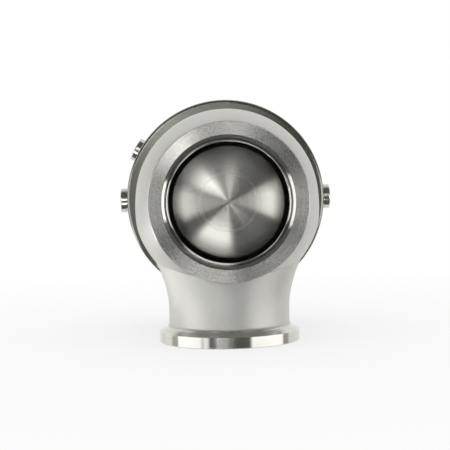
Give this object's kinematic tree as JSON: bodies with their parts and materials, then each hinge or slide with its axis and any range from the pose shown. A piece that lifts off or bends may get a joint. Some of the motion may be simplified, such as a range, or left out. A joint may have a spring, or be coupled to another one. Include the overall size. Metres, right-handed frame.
{
  "type": "turbo wastegate",
  "caption": "External exhaust wastegate: V-band inlet and side outlet, a disc valve on a seat ring, and a round spring and diaphragm actuator.",
  "frame": {"origin": "centre of the inlet flange face, on the valve axis", "axes": "+Y along the valve axis from the inlet to the actuator; the outlet faces -Z; +X to the right seen from the inlet"},
  "size_m": [0.1244, 0.159, 0.1362],
  "materials": {
    "cast_stainless": "bead-blasted casting, machined flange faces",
    "seat_steel": "fine turned, polished lip",
    "valve_steel": "fine turned",
    "stem_guide": "machined bronze",
    "gasket": "graphite composite",
    "actuator_aluminium": "machined, polished",
    "plated_steel": "bright plated",
    "plug_steel": "bright plated, polished",
    "black_steel": "black oxide",
    "spring_steel": "oiled spring wire",
    "rubber": "moulded, matte",
    "diaphragm_rubber": "fabric reinforced, matte"
  },
  "bodies": {
    "housing": {"valve_housing": "cast_stainless", "valve_seat": "seat_steel", "valve_guide": "stem_guide", "heat_gasket": "gasket", "actuator_body": "actuator_aluminium", "body_screws": "black_steel", "body_washers": "plated_steel", "bush_carrier": "actuator_aluminium", "stem_bush": "stem_guide", "stem_seal": "rubber", "carrier_o_rings": "rubber", "carrier_clip": "spring_steel", "diaphragm": "diaphragm_rubber", "spring_outer": "spring_steel", "spring_inner": "spring_steel", "actuator_cap": "actuator_aluminium", "cap_o_ring": "rubber", "cap_lock_ring": "black_steel", "coolant_plugs": "plug_steel", "signal_plug": "plug_steel", "plug_o_rings": "rubber"},
    "valve_train": {"valve": "valve_steel", "diaphragm_plate": "actuator_aluminium", "spring_cup": "actuator_aluminium", "stem_washer": "plated_steel", "stem_nut": "plated_steel"}
  },
  "joints": [
    {"name": "valve_lift", "type": "slide", "parent": "housing", "child": "valve_train", "axis": [0, 1, 0], "range_m": [0, 0.013], "stiffness_N_per_m": 2500, "springref_m": -0.024, "deforming": ["spring_outer", "spring_inner", "diaphragm"]}
  ]
}
